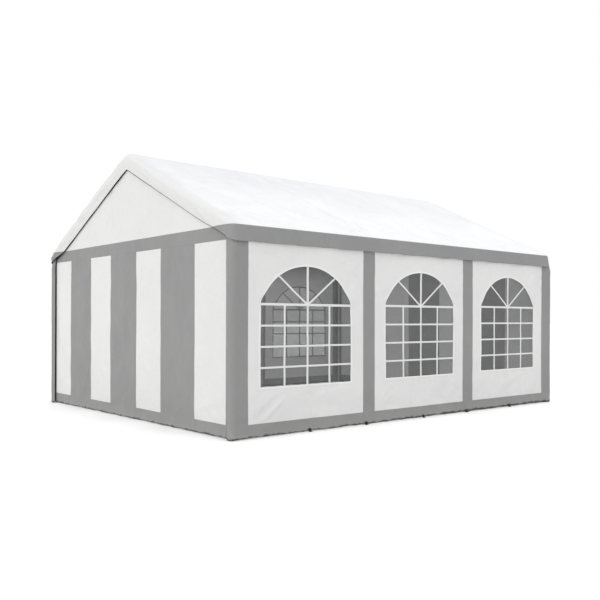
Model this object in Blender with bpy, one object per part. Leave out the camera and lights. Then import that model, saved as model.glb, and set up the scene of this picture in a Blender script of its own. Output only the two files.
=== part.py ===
"""Marquee tent: a steel tube frame under a pitched cover, with windowed side walls and striped end walls.

Metres, +Z up. The origin is on the ground at the middle of the tent, +X runs along the ridge and
the ridge is highest. Each named object is one piece of the real tent.
"""
import math

import bmesh
import bpy
from mathutils import Matrix, Vector

# Driving dimensions
BAY = 2.0
CORNER_LEG_X = 3.02
INNER_LEG_X = BAY / 2
LEG_Y = 2.39
COVER_HALF_WIDTH = 2.442
COVER_HALF_LENGTH = 3.096
RIDGE_TOP = 3.502
EAVE_TOP = 2.348

# Cloth
CLOTH = 0.004
GAP = 0.0003
HEM_Z = 0.008
VALANCE_BOTTOM = 2.160
GABLE_STRIP_DROP = 0.222
END_WALL_OUTER = 3.060
SIDE_WALL_OUTER = 2.437
CORNER_FLAP_OUTER = 3.094
CORNER_FLAP_WIDTH = 0.10
CORNER_FLAP_TOP = 2.30
WALL_TOP_CLEARANCE = 0.012

# Windows
WINDOW_CENTRES = (-BAY, 0.0, BAY)
WINDOW_HALF_WIDTH = 0.68
WINDOW_BOTTOM = 0.563
WINDOW_SPRING = 1.36
WINDOW_RISE = 0.57
WINDOW_ARC_POINTS = 25
FILM_OVERLAP = 0.03
FILM_THICKNESS = 0.003

# Steel
TUBE_RADIUS = 0.019
SOCKET_RADIUS = 0.022
HUB_RADIUS = 0.033
SOCKET_LENGTH = 0.11
AXIS_BELOW_COVER = 0.035
FOOT_SIZE = 0.10
FOOT_THICKNESS = 0.004
PEG_HOLE_RADIUS = 0.007
PEG_HOLE_OFFSET = 0.034
ROUND_SIDES = 16

# Values that follow from the driving dimensions
SLOPE = math.atan2(RIDGE_TOP - EAVE_TOP, COVER_HALF_WIDTH)
VERTICAL_CLOTH = CLOTH / math.cos(SLOPE)
RIDGE_AXIS_Z = RIDGE_TOP - (CLOTH + AXIS_BELOW_COVER) / math.cos(SLOPE)
EAVE_AXIS_Z = RIDGE_AXIS_Z - LEG_Y * math.tan(SLOPE)
FRAME_X = (-CORNER_LEG_X, -INNER_LEG_X, INNER_LEG_X, CORNER_LEG_X)
SIDES = {"front": -1, "back": 1}
ENDS = {"left": -1, "right": 1}


def clear_scene():
    for item in list(bpy.data.objects):
        bpy.data.objects.remove(item, do_unlink=True)


def new_collection(name):
    collection = bpy.data.collections.new(name)
    bpy.context.scene.collection.children.link(collection)
    return collection


def new_material(name, colour, roughness, metallic=0.0, alpha=1.0):
    material = bpy.data.materials.new(name)
    material.use_nodes = True
    shader = material.node_tree.nodes["Principled BSDF"]
    shader.inputs["Base Color"].default_value = (*colour, 1.0)
    shader.inputs["Roughness"].default_value = roughness
    shader.inputs["Metallic"].default_value = metallic
    shader.inputs["Alpha"].default_value = alpha
    return material


clear_scene()
TENT = new_collection("marquee_tent")
CUTTERS = new_collection("cutters")

STEEL = new_material("zinc_steel_tube", (0.62, 0.63, 0.64), 0.38, 1.0)
FITTING = new_material("zinc_steel_fitting", (0.52, 0.53, 0.54), 0.48, 1.0)
WHITE_CLOTH = new_material("white_cloth", (0.84, 0.84, 0.85), 0.55)
GREY_CLOTH = new_material("grey_cloth", (0.29, 0.29, 0.30), 0.58)
STRIPED_CLOTH = new_material("striped_cloth", (0.60, 0.60, 0.60), 0.56)
FILM = new_material("window_film", (0.30, 0.31, 0.32), 0.18, 0.0, 0.6)


def finish(item, material):
    item.data.materials.clear()
    item.data.materials.append(material)
    if item.type == "MESH":
        item.data.shade_smooth()
        item.data.set_sharp_from_angle(angle=math.radians(35))
    return item


def mesh_object(name, mesh_builder, collection):
    mesh = bpy.data.meshes.new(name)
    bm = bmesh.new()
    mesh_builder(bm)
    bm.to_mesh(mesh)
    bm.free()
    item = bpy.data.objects.new(name, mesh)
    collection.objects.link(item)
    return item


def cylinder(name, start, end, radius, collection=CUTTERS):
    """A solid round bar from start to end."""
    start = Vector(start)
    run = Vector(end) - start
    turn = run.to_track_quat("Z", "Y").to_matrix().to_4x4()
    place = Matrix.Translation(start + run / 2) @ turn

    def build(bm):
        bmesh.ops.create_cone(
            bm, cap_ends=True, segments=ROUND_SIDES, radius1=radius, radius2=radius,
            depth=run.length, matrix=place)

    return mesh_object(name, build, collection)


def ball(name, centre, radius):
    def build(bm):
        bmesh.ops.create_uvsphere(
            bm, u_segments=12, v_segments=8, radius=radius, matrix=Matrix.Translation(centre))

    return mesh_object(name, build, CUTTERS)


def block(name, low, high, collection=CUTTERS):
    """A box between two opposite corners."""
    low, high = Vector(low), Vector(high)
    size = high - low
    place = Matrix.Translation((low + high) / 2) @ Matrix.Diagonal((*size, 1.0))

    def build(bm):
        bmesh.ops.create_cube(bm, size=1.0, matrix=place)

    return mesh_object(name, build, collection)


def combine(name, base, others, operation, material):
    """Join or cut solids into one mesh, and remove the helpers."""
    for other in others:
        step = base.modifiers.new(operation.lower(), "BOOLEAN")
        step.operation = operation
        step.solver = "EXACT"
        step.object = other
    depsgraph = bpy.context.evaluated_depsgraph_get()
    mesh = bpy.data.meshes.new_from_object(base.evaluated_get(depsgraph))
    mesh.name = name
    for helper in [base, *others]:
        bpy.data.objects.remove(helper, do_unlink=True)
    item = bpy.data.objects.new(name, mesh)
    TENT.objects.link(item)
    return finish(item, material)


def rod(name, start, end):
    """A steel tube of the frame, as a bevelled straight curve."""
    curve = bpy.data.curves.new(name, "CURVE")
    curve.dimensions = "3D"
    curve.bevel_depth = TUBE_RADIUS
    curve.bevel_resolution = ROUND_SIDES // 4 - 1
    curve.use_fill_caps = True
    spline = curve.splines.new("POLY")
    spline.points.add(1)
    spline.points[0].co = (*start, 1.0)
    spline.points[1].co = (*end, 1.0)
    item = bpy.data.objects.new(name, curve)
    TENT.objects.link(item)
    return finish(item, STEEL)


def sheet(name, outline, thickness, matrix, material, collection=TENT):
    """A flat outline with thickness, laid in the plane that matrix gives."""
    curve = bpy.data.curves.new(name, "CURVE")
    curve.dimensions = "2D"
    curve.fill_mode = "BOTH"
    curve.extrude = thickness / 2
    spline = curve.splines.new("POLY")
    spline.points.add(len(outline) - 1)
    for point, (across, up) in zip(spline.points, outline):
        point.co = (across, up, 0.0, 1.0)
    spline.use_cyclic_u = True
    item = bpy.data.objects.new(name, curve)
    item.matrix_world = matrix
    collection.objects.link(item)
    return finish(item, material)


def facing_x(x):
    """Local X runs along world Y and local Y runs up, in the plane at this x."""
    return Matrix(((0, 0, 1, x), (1, 0, 0, 0), (0, 1, 0, 0), (0, 0, 0, 1)))


def facing_y(y):
    """Local X runs along world X and local Y runs up, in the plane at this y."""
    return Matrix(((1, 0, 0, 0), (0, 0, -1, y), (0, 1, 0, 0), (0, 0, 0, 1)))


def cover_top(y):
    """Height of the cover's outer face at a distance y from the ridge."""
    return RIDGE_TOP - abs(y) * math.tan(SLOPE)


def along(start, end, distance):
    start, end = Vector(start), Vector(end)
    return start + (end - start).normalized() * distance


def eave_point(x, side):
    return Vector((x, side * LEG_Y, EAVE_AXIS_Z))


def ridge_point(x):
    return Vector((x, 0.0, RIDGE_AXIS_Z))


def neighbours(index):
    """The frames next to this one along the tent."""
    return [FRAME_X[i] for i in (index - 1, index + 1) if 0 <= i < len(FRAME_X)]


def make_fitting(name, centre, targets):
    """A welded fitting: a hub with a socket toward each tube that meets there."""
    arms = [
        cylinder(f"arm_{i}", centre, along(centre, target, SOCKET_LENGTH), SOCKET_RADIUS)
        for i, target in enumerate(targets)
    ]
    return combine(name, ball("hub", centre, HUB_RADIUS), arms, "UNION", FITTING)


def make_tube(name, start, end):
    """A frame tube between two fittings, clear of both sockets."""
    reach = SOCKET_LENGTH + GAP
    return rod(name, along(start, end, reach), along(end, start, reach))


def make_leg(name, x, side):
    """An upright with its welded foot plate and two peg holes."""
    y = side * LEG_Y
    half = FOOT_SIZE / 2
    top = EAVE_AXIS_Z - SOCKET_LENGTH - GAP
    plate = block("plate", (x - half, y - half, 0.0), (x + half, y + half, FOOT_THICKNESS))
    tube = cylinder("tube", (x, y, FOOT_THICKNESS / 2), (x, y, top), TUBE_RADIUS)
    holes = [
        cylinder("peg_hole", (x + offset, y, -FOOT_THICKNESS), (x + offset, y, 2 * FOOT_THICKNESS),
                 PEG_HOLE_RADIUS)
        for offset in (-PEG_HOLE_OFFSET, PEG_HOLE_OFFSET)
    ]
    solid = combine("foot", plate, holes, "DIFFERENCE", STEEL)
    return combine(name, solid, [tube], "UNION", STEEL)


def make_frame():
    for index, x in enumerate(FRAME_X):
        number = index + 1
        for side_name, side in SIDES.items():
            corner = eave_point(x, side)
            foot = Vector((x, side * LEG_Y, 0.0))
            rails = [eave_point(other, side) for other in neighbours(index)]
            make_fitting(f"eave_fitting_{side_name}_{number}", corner, [foot, ridge_point(x), *rails])
            make_leg(f"leg_{side_name}_{number}", x, side)
            make_tube(f"rafter_{side_name}_{number}", corner, ridge_point(x))
        ridges = [ridge_point(other) for other in neighbours(index)]
        slopes = [eave_point(x, side) for side in SIDES.values()]
        make_fitting(f"ridge_fitting_{number}", ridge_point(x), [*slopes, *ridges])
    for index, (x, other) in enumerate(zip(FRAME_X, FRAME_X[1:])):
        number = index + 1
        make_tube(f"ridge_tube_{number}", ridge_point(x), ridge_point(other))
        for side_name, side in SIDES.items():
            make_tube(f"eave_tube_{side_name}_{number}", eave_point(x, side), eave_point(other, side))


def make_cover():
    """Two roof slopes, the valances along the eaves and the strips over the gables."""
    half_gap = GAP / 2
    for side_name, side in SIDES.items():
        outline = [
            (side * half_gap, cover_top(half_gap)),
            (side * COVER_HALF_WIDTH, EAVE_TOP),
            (side * COVER_HALF_WIDTH, EAVE_TOP - VERTICAL_CLOTH),
            (side * half_gap, cover_top(half_gap) - VERTICAL_CLOTH),
        ]
        sheet(f"roof_{side_name}", outline, 2 * COVER_HALF_LENGTH, facing_x(0.0), WHITE_CLOTH)
        valance = [
            (-COVER_HALF_LENGTH, VALANCE_BOTTOM), (COVER_HALF_LENGTH, VALANCE_BOTTOM),
            (COVER_HALF_LENGTH, EAVE_TOP), (-COVER_HALF_LENGTH, EAVE_TOP),
        ]
        plane = side * (COVER_HALF_WIDTH + GAP + CLOTH / 2)
        sheet(f"valance_{side_name}", valance, CLOTH, facing_y(plane), GREY_CLOTH)
    outer = COVER_HALF_WIDTH + GAP + CLOTH
    for end_name, end in ENDS.items():
        strip = [
            (0.0, RIDGE_TOP), (outer, cover_top(outer)), (outer, cover_top(outer) - GABLE_STRIP_DROP),
            (0.0, RIDGE_TOP - GABLE_STRIP_DROP), (-outer, cover_top(outer) - GABLE_STRIP_DROP),
            (-outer, cover_top(outer)),
        ]
        plane = end * (COVER_HALF_LENGTH + GAP + CLOTH / 2)
        sheet(f"gable_strip_{end_name}", strip, CLOTH, facing_x(plane), WHITE_CLOTH)


def window_outline(centre, margin):
    """A window's outline: straight jambs under a rounded arch."""
    half = WINDOW_HALF_WIDTH + margin
    rise = WINDOW_RISE + margin
    points = [(centre - half, WINDOW_BOTTOM - margin), (centre + half, WINDOW_BOTTOM - margin)]
    for step in range(WINDOW_ARC_POINTS):
        angle = math.pi * step / (WINDOW_ARC_POINTS - 1)
        points.append((centre + half * math.cos(angle), WINDOW_SPRING + rise * math.sin(angle)))
    return points


def as_mesh(item, collection):
    """Turn a curve object into a welded mesh object of the same place."""
    name = item.name
    depsgraph = bpy.context.evaluated_depsgraph_get()
    mesh = bpy.data.meshes.new_from_object(item.evaluated_get(depsgraph))
    bm = bmesh.new()
    bm.from_mesh(mesh)
    bmesh.ops.remove_doubles(bm, verts=bm.verts, dist=0.00001)
    bm.to_mesh(mesh)
    bm.free()
    result = bpy.data.objects.new(f"{name}_mesh", mesh)
    result.matrix_world = item.matrix_world
    bpy.data.objects.remove(item, do_unlink=True)
    collection.objects.link(result)
    return result


def make_side_wall(side_name, side):
    """A long wall with three arched windows cut through, and a film behind each."""
    end = CORNER_FLAP_OUTER
    plane = side * (SIDE_WALL_OUTER - CLOTH / 2)
    top = cover_top(SIDE_WALL_OUTER) - VERTICAL_CLOTH - WALL_TOP_CLEARANCE
    wall = block("wall", (-end, plane - CLOTH / 2, HEM_Z), (end, plane + CLOTH / 2, top))
    cutters = []
    for centre in WINDOW_CENTRES:
        cutter = sheet("window_cutter", window_outline(centre, 0.0), 4 * CLOTH, facing_y(plane),
                       GREY_CLOTH, CUTTERS)
        cutters.append(as_mesh(cutter, CUTTERS))
    combine(f"side_wall_{side_name}", wall, cutters, "DIFFERENCE", WHITE_CLOTH)
    inner = side * (SIDE_WALL_OUTER - CLOTH - GAP - FILM_THICKNESS / 2)
    for number, centre in enumerate(WINDOW_CENTRES, start=1):
        sheet(f"window_film_{side_name}_{number}", window_outline(centre, FILM_OVERLAP),
              FILM_THICKNESS, facing_y(inner), FILM)


def make_end_wall(end_name, end):
    """A striped end wall that runs up into the gable."""
    half = SIDE_WALL_OUTER - CLOTH - GAP
    drop = VERTICAL_CLOTH + WALL_TOP_CLEARANCE
    outline = [
        (-half, HEM_Z), (half, HEM_Z), (half, cover_top(half) - drop),
        (0.0, RIDGE_TOP - drop), (-half, cover_top(half) - drop),
    ]
    plane = end * (END_WALL_OUTER - CLOTH / 2)
    sheet(f"end_wall_{end_name}", outline, CLOTH, facing_x(plane), STRIPED_CLOTH)


def make_corner_flaps(end_name, end):
    """Where each side wall turns the corner and hangs in front of the end wall."""
    plane = end * (CORNER_FLAP_OUTER - CLOTH / 2)
    outer = SIDE_WALL_OUTER - CLOTH - GAP
    inner = SIDE_WALL_OUTER - CORNER_FLAP_WIDTH
    for side_name, side in SIDES.items():
        outline = [
            (side * inner, HEM_Z), (side * outer, HEM_Z),
            (side * outer, CORNER_FLAP_TOP), (side * inner, CORNER_FLAP_TOP),
        ]
        name = f"corner_flap_{side_name}_{end_name}"
        sheet(name, outline, CLOTH, facing_x(plane), GREY_CLOTH)


make_frame()
make_cover()
for wall_side, sign in SIDES.items():
    make_side_wall(wall_side, sign)
for wall_end, sign in ENDS.items():
    make_end_wall(wall_end, sign)
    make_corner_flaps(wall_end, sign)
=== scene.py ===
"""Looks of the marquee tent: sewn cloth cover and walls, window film and bars, zinc-coated frame.

Everything is in metres, +Z up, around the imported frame. Sizes come from the frame's nodes.
"""
import math

import bmesh
import bpy
import numpy as np
from mathutils import Matrix, Vector


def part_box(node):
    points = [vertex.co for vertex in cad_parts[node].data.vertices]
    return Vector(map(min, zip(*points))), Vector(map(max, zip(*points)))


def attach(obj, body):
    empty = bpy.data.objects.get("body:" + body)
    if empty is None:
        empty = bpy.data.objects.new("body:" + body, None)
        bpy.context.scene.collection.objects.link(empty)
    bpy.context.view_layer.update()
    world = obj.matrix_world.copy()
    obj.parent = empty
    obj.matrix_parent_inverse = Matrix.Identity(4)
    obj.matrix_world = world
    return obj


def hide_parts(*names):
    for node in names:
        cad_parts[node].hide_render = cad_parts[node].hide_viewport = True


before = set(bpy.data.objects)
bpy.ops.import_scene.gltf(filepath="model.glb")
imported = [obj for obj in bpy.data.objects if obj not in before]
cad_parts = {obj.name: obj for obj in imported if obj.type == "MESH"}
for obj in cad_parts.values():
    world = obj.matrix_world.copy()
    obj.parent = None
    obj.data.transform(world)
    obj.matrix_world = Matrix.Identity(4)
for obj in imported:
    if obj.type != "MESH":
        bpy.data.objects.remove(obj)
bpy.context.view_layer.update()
BODY = "root"

# View of the photograph, in a frame of 600 by 600 pixels
FRAME_PIXELS = 600
FOCAL_PIXELS = 748.56
HORIZON_ROW = 319.3
SENSOR_WIDTH = 36.0
CAMERA_PLACE = (-7.714, -9.0237, 1.3107)
CAMERA_HEADING = 0.8679
CAMERA_ROLL = 0.0031

# Light: the travel of each sun, its strength over pi, its softness in degrees and its colour
KEY_SUN = ((0.935, 0.085, -0.34), 0.20, 20.0, (1.0, 0.985, 0.96))
TOP_SUN = ((0.0, 0.10, -0.995), 0.30, 40.0, (0.96, 0.98, 1.0))
INSIDE_WATTS = 66.0

# Sizes read from the frame
COVER_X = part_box("gable_strip_right")[1][0]
COVER_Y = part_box("valance_back")[1][1]
RIDGE_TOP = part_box("roof_front")[1][2]
EAVE_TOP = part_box("valance_front")[1][2]
VALANCE_DROP = EAVE_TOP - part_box("valance_front")[0][2]
SLOPE = (RIDGE_TOP - EAVE_TOP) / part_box("roof_back")[1][1]
STRIP_DROP = RIDGE_TOP - SLOPE * COVER_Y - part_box("gable_strip_left")[0][2]
WALL_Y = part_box("side_wall_back")[1][1]
WALL_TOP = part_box("side_wall_front")[1][2]
HEM_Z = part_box("side_wall_front")[0][2]
CORNER_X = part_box("corner_flap_front_right")[1][0]
FLAP_END_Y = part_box("corner_flap_back_right")[0][1]
FLAP_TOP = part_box("corner_flap_back_right")[1][2]
END_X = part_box("end_wall_right")[1][0]
END_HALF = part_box("end_wall_right")[1][1]
END_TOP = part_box("end_wall_right")[1][2]
FRAME_X = [(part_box(f"leg_front_{i}")[0][0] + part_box(f"leg_front_{i}")[1][0]) / 2 for i in (1, 2, 3, 4)]
FILM_LOW, FILM_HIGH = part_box("window_film_front_2")

# Windows
FILM_OVERLAP = 0.03
WINDOW_HALF = (FILM_HIGH[0] - FILM_LOW[0]) / 2 - FILM_OVERLAP
WINDOW_HALVES = (WINDOW_HALF + 0.006, WINDOW_HALF, WINDOW_HALF - 0.012)
WINDOW_BOTTOM = FILM_LOW[2] + FILM_OVERLAP
WINDOW_TOP = FILM_HIGH[2] - FILM_OVERLAP
WINDOW_RISE = 0.57
WINDOW_SPRING = WINDOW_TOP - WINDOW_RISE
WINDOW_PITCH = FRAME_X[2] - FRAME_X[1]
WINDOW_SHIFT = -0.010
WINDOW_CENTRES = [WINDOW_SHIFT + WINDOW_PITCH * step for step in (-1.0, 0.0, 0.996)]
WINDOWS = tuple(zip(WINDOW_CENTRES, (-0.008, 0.0, 0.014), WINDOW_HALVES))
SHOULDER_Z = 1.52
TRANSOM_Z = 1.486
BAR_ROWS = (0.777, 1.011, 1.247)
COLUMN_PITCH = 0.343
FAN_SLOPE = 0.75
MULLION_WIDTH = 0.028
FAN_POST_WIDTH = 0.033
BAR_WIDTH = 0.0225
TRANSOM_WIDTH = 0.028
RIM_WIDTH = 0.022

# Colour fields
WHITE_BOTTOM = 0.157
BAND_TOP = 2.338
SIDE_WHITE = ((-2.870, -1.102), (-0.894, 0.889), (1.115, 2.888))
END_WHITE = ((-2.283, -1.645), (-0.873, -0.243), (0.495, 1.111), (1.812, 2.349))
END_BAND_BOTTOM = 2.178
MARGIN_START = 2.97

# Cloth
CLOTH = 0.0014
EAVE_FOLD = 0.026
GABLE_FOLD = 0.064
COVER_CORNER = 0.060
WALL_CORNER = 0.050
RIDGE_ROUNDING = 0.012
ROOF_SAG = 0.026
COVER_STEP = 0.034
END_STEP = 0.027
HEM_FOLD = 0.022
HEM_RELIEF = 0.0012
# Radii of the dark bead on the gable hems, front and back; the fuller back one partly paints the gap's shadow
PIPING_AND_SHADE_RADII = (0.0027, 0.0042)
GABLE_TUCK = 0.035
BACK_HEM_LIFT = 0.009


# Shapes in numbers

def smooth(value, low, high):
    """Zero below low, one above high, with an even ramp between."""
    t = np.clip((value - low) / (high - low), 0.0, 1.0)
    return t * t * (3.0 - 2.0 * t)


def ripple(u, v, seed, wavelength, count=7):
    """Smooth waves of about one wavelength, from a few seeded directions, mostly within -1 to 1."""
    rng = np.random.default_rng(seed)
    total = np.zeros(np.broadcast(u, v).shape)
    for _ in range(count):
        angle, phase = rng.uniform(0.0, math.tau, 2)
        length = wavelength * rng.uniform(0.7, 1.5)
        total = total + np.sin(math.tau * (u * math.cos(angle) + v * math.sin(angle)) / length + phase)
    return total / math.sqrt(count)


def crease(u, v, start, end, width, height):
    """A soft fold along a line: raised in the middle, slightly hollow on both sides."""
    (u0, v0), (u1, v1) = start, end
    length = math.hypot(u1 - u0, v1 - v0)
    along = ((u - u0) * (u1 - u0) + (v - v0) * (v1 - v0)) / length ** 2
    across = ((u - u0) * (v1 - v0) - (v - v0) * (u1 - u0)) / length / width
    ends = smooth(along, -0.12, 0.25) * (1.0 - smooth(along, 0.6, 1.12))
    return height * ends * (1.0 - 0.7 * across ** 2) * np.exp(-across ** 2)


def dent(u, v, centre, size, depth):
    """A round hollow or bulge."""
    return depth * np.exp(-((u - centre[0]) / size[0]) ** 2 - ((v - centre[1]) / size[1]) ** 2)


def fan(u, v, centre, headings, lengths, width, height):
    """Creases that spread from a place where the cloth is pulled."""
    total = 0.0
    for heading, length in zip(headings, lengths):
        tip = (centre[0] + length * math.cos(heading), centre[1] + length * math.sin(heading))
        total = total + crease(u, v, centre, tip, width, height)
    return total


def spaced(start, end, step):
    """Even places from start to end, about a step apart."""
    return np.linspace(start, end, max(1, round(abs(end - start) / step)) + 1)


def with_lines(values, extra, clear=0.004):
    """The places in values and in extra, without those in values that crowd an extra one."""
    kept = [value for value in values if min(abs(value - other) for other in extra) > clear]
    return np.array(sorted(kept + list(extra)))


def grid_quads(rows, columns, first=0, closed=False):
    """Faces of a grid whose points are numbered row by row."""
    span = columns if closed else columns - 1
    here = np.arange(span)
    a = (np.arange(rows - 1)[:, None] * columns + here).ravel() + first
    b = (np.arange(rows - 1)[:, None] * columns + (here + 1) % columns).ravel() + first
    return np.stack([a, b, b + columns, a + columns], axis=-1).tolist()


# Pieces

def mesh_piece(name, points, faces, material, inside):
    """A new object from points and faces that all look away from the point inside."""
    mesh = bpy.data.meshes.new(name)
    mesh.from_pydata(np.asarray(points, float).tolist(), [], faces)
    mesh.materials.append(material)
    weld_and_turn(mesh, Vector(inside))
    mesh.shade_smooth()
    item = bpy.data.objects.new(name, mesh)
    bpy.context.scene.collection.objects.link(item)
    return item


def weld_and_turn(mesh, inside):
    """Join points that meet, and turn the faces the same way, outwards."""
    shell = bmesh.new()
    shell.from_mesh(mesh)
    bmesh.ops.remove_doubles(shell, verts=shell.verts, dist=0.0002)
    bmesh.ops.recalc_face_normals(shell, faces=shell.faces)
    outward = sum(face.normal.dot(face.calc_center_median() - inside) * face.calc_area() for face in shell.faces)
    if outward < 0.0:
        bmesh.ops.reverse_faces(shell, faces=shell.faces)
    shell.to_mesh(mesh)
    shell.free()


def gather(blocks):
    """One list of points and faces from grids of points."""
    points, faces = [], []
    for block in blocks:
        faces += grid_quads(*block.shape[:2], first=sum(map(len, points)))
        points.append(block.reshape(-1, 3))
    return np.concatenate(points), faces


def dress(item, replaced=(), thickness=CLOTH):
    """Give a sheet its thickness, towards its inner face, and settle what it stands for."""
    solid = item.modifiers.new("thickness", "SOLIDIFY")
    solid.thickness = thickness
    solid.offset = -1.0
    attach(item, BODY)
    if replaced:
        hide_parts(*replaced)
    return item


# Materials

class Nodes:
    """Short calls for building a material's nodes."""

    def __init__(self, name):
        self.material = bpy.data.materials.new(name)
        self.material.use_nodes = True
        self.tree = self.material.node_tree
        self.shader = self.tree.nodes["Principled BSDF"]

    def add(self, kind, **settings):
        node = self.tree.nodes.new(kind)
        for key, value in settings.items():
            setattr(node, key, value)
        return node

    def feed(self, socket, value):
        """Set a socket to a number or a colour, or link it to another socket."""
        if isinstance(value, tuple):
            socket.default_value = (*value, 1.0)[:len(socket.default_value)]
        elif isinstance(value, (int, float)):
            socket.default_value = value
        else:
            self.tree.links.new(value, socket)

    def set(self, **inputs):
        for key, value in inputs.items():
            self.feed(self.shader.inputs[key.replace("_", " ")], value)

    def math(self, operation, first, second=0.0):
        node = self.add("ShaderNodeMath", operation=operation)
        self.feed(node.inputs[0], first)
        self.feed(node.inputs[1], second)
        return node.outputs[0]

    def place(self):
        """The point on the object, and its three numbers."""
        coordinates = self.add("ShaderNodeTexCoord").outputs["Object"]
        split = self.add("ShaderNodeSeparateXYZ")
        self.feed(split.inputs[0], coordinates)
        return coordinates, split.outputs

    def noise(self, vector, scale, detail=3.0, roughness=0.5, distortion=0.0):
        node = self.add("ShaderNodeTexNoise")
        for key, value in (("Vector", vector), ("Scale", scale), ("Detail", detail),
                           ("Roughness", roughness), ("Distortion", distortion)):
            self.feed(node.inputs[key], value)
        return node.outputs["Fac"]

    def wave(self, vector, scale, direction):
        node = self.add("ShaderNodeTexWave", wave_type="BANDS", bands_direction=direction)
        self.feed(node.inputs["Vector"], vector)
        self.feed(node.inputs["Scale"], scale)
        return node.outputs["Fac"]

    def map(self, value, from_low, from_high, to_low=0.0, to_high=1.0):
        node = self.add("ShaderNodeMapRange")
        for key, number in (("Value", value), ("From Min", from_low), ("From Max", from_high),
                            ("To Min", to_low), ("To Max", to_high)):
            self.feed(node.inputs[key], number)
        return node.outputs["Result"]

    def between(self, value, low, high, soft=0.0012):
        """One between low and high, zero outside."""
        rise = self.map(value, low - soft, low + soft)
        fall = self.map(value, high - soft, high + soft, 1.0, 0.0)
        return self.math("MULTIPLY", rise, fall)

    def lines(self, value, places, width, soft=0.0008):
        """One on a narrow line at each of the places."""
        return self.most([self.between(value, at - width / 2, at + width / 2, soft) for at in places])

    def most(self, masks):
        total = masks[0]
        for mask in masks[1:]:
            total = self.math("MAXIMUM", total, mask)
        return total

    def mix(self, factor, first, second):
        node = self.add("ShaderNodeMix", data_type="RGBA")
        for key, value in (("Factor", factor), ("A", first), ("B", second)):
            self.feed(node.inputs[key], value)
        return node.outputs["Result"]

    def bump(self, layers):
        """Chained bumps from (height, strength, distance) layers."""
        normal = None
        for height, strength, distance in layers:
            node = self.add("ShaderNodeBump")
            self.feed(node.inputs["Strength"], strength)
            self.feed(node.inputs["Distance"], distance)
            self.feed(node.inputs["Height"], height)
            if normal is not None:
                self.feed(node.inputs["Normal"], normal)
            normal = node.outputs["Normal"]
        self.set(Normal=normal)


# Two whites: the clouds mix them at random; on the end walls the darker one is also painted shade towards the front
WALL_WHITE = ((0.650, 0.650, 0.643), (0.618, 0.619, 0.615))
RIM_WHITE = (0.715, 0.715, 0.708)
# The strips over the gables are painted darker than the roof as painted shade; the roof's second white is its
# painted shade
STRIP_SHADED_WHITE = (0.616, 0.616, 0.612)
ROOF_WHITE_AND_SHADE = ((0.732, 0.735, 0.741), (0.640, 0.647, 0.668))
GREY = ((0.244, 0.244, 0.243), (0.229, 0.229, 0.229))
LOW_DARKENING = (0.40, 0.39, 0.365)
FOOT_SHADOW = (0.030, 0.029, 0.027)
SEAM_SHADE = (0.10, 0.10, 0.105)


def cloth_material(name, white_mask, seam_mask, white_tone):
    """Coated woven cloth: white where the mask is one, grey where it is zero, darker in spots towards the ground,
    and with a painted shadow along its foot.
    """
    nodes = Nodes(name)
    place, (x, y, z) = nodes.place()
    clouds = nodes.noise(place, 1.1, 3.0, 0.55)
    grey = nodes.mix(nodes.map(clouds, 0.35, 0.7), *GREY)
    colour = nodes.mix(white_mask(nodes, x, y, z), grey, white_tone(nodes, clouds, x, y, z))
    seam = seam_mask(nodes, x, y, z)
    colour = nodes.mix(nodes.math("MULTIPLY", seam, 0.30), colour, SEAM_SHADE)
    spots = nodes.noise(place, 9.0, 4.0, 0.6)
    # Darker in spots towards the ground, fading out by 0.2 m
    colour = nodes.mix(nodes.math("MULTIPLY", nodes.map(z, 0.0, 0.20, 0.34, 0.0), spots), colour, LOW_DARKENING)
    # Painted shadow: a near-black line along the foot of the cloth, reaching higher towards +X
    edge = nodes.math("SUBTRACT", z, nodes.map(x, -1.5, 1.5, 0.0, 0.013))
    edge = nodes.math("ADD", edge, nodes.map(nodes.noise(place, 14.0, 2.0), 0.3, 0.7, -0.012, 0.012))
    colour = nodes.mix(nodes.map(edge, 0.014, 0.032, 0.86, 0.0), colour, FOOT_SHADOW)
    nodes.set(Base_Color=colour, Specular_IOR_Level=0.15,
              Roughness=nodes.map(nodes.noise(place, 5.0, 4.0, 0.6), 0.3, 0.7, 0.42, 0.56))
    weave = nodes.math("ADD", nodes.wave(place, 95.0, "X"), nodes.wave(place, 95.0, "Z"))
    weave = nodes.math("ADD", weave, nodes.wave(place, 95.0, "Y"))
    billows = nodes.noise(place, 1.7, 2.0, 0.45, 0.6)
    crinkle = nodes.noise(place, 5.0, 4.0, 0.55, 0.8)
    nodes.bump([(billows, 1.0, 0.055), (crinkle, 0.9, 0.013), (seam, 0.5, 0.0010), (weave, 0.05, 0.0004)])
    return nodes.material


def wall_tone(nodes, clouds, x, y, z):
    return nodes.mix(nodes.map(clouds, 0.3, 0.7), *WALL_WHITE)


def end_tone(nodes, clouds, x, y, z):
    """The end wall's white, with painted shade that darkens it towards the front (-Y); the clouds vary it at random.
    """
    shade = nodes.math("ADD", nodes.map(clouds, 0.3, 0.7), nodes.map(y, -END_HALF, END_HALF, 0.45, -0.45))
    return nodes.mix(shade, *WALL_WHITE)


def side_tone(nodes, clouds, x, y, z):
    """The side wall's white, lighter on the ring of doubled cloth round each window."""
    rings = []
    for centre, lift, half in WINDOWS:
        across = nodes.math("DIVIDE", nodes.math("SUBTRACT", x, centre), half + RIM_WIDTH)
        above = nodes.math("MAXIMUM", nodes.math("SUBTRACT", z, WINDOW_SPRING + lift), 0.0)
        above = nodes.math("DIVIDE", above, WINDOW_RISE + RIM_WIDTH)
        squares = [nodes.math("MULTIPLY", part, part) for part in (across, above)]
        inside = nodes.map(nodes.math("ADD", *squares), 0.992, 1.008, 1.0, 0.0)
        low = WINDOW_BOTTOM - RIM_WIDTH + lift
        rings.append(nodes.math("MULTIPLY", inside, nodes.map(z, low - 0.002, low + 0.002)))
    return nodes.mix(nodes.most(rings), wall_tone(nodes, clouds, x, y, z), RIM_WHITE)


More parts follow.
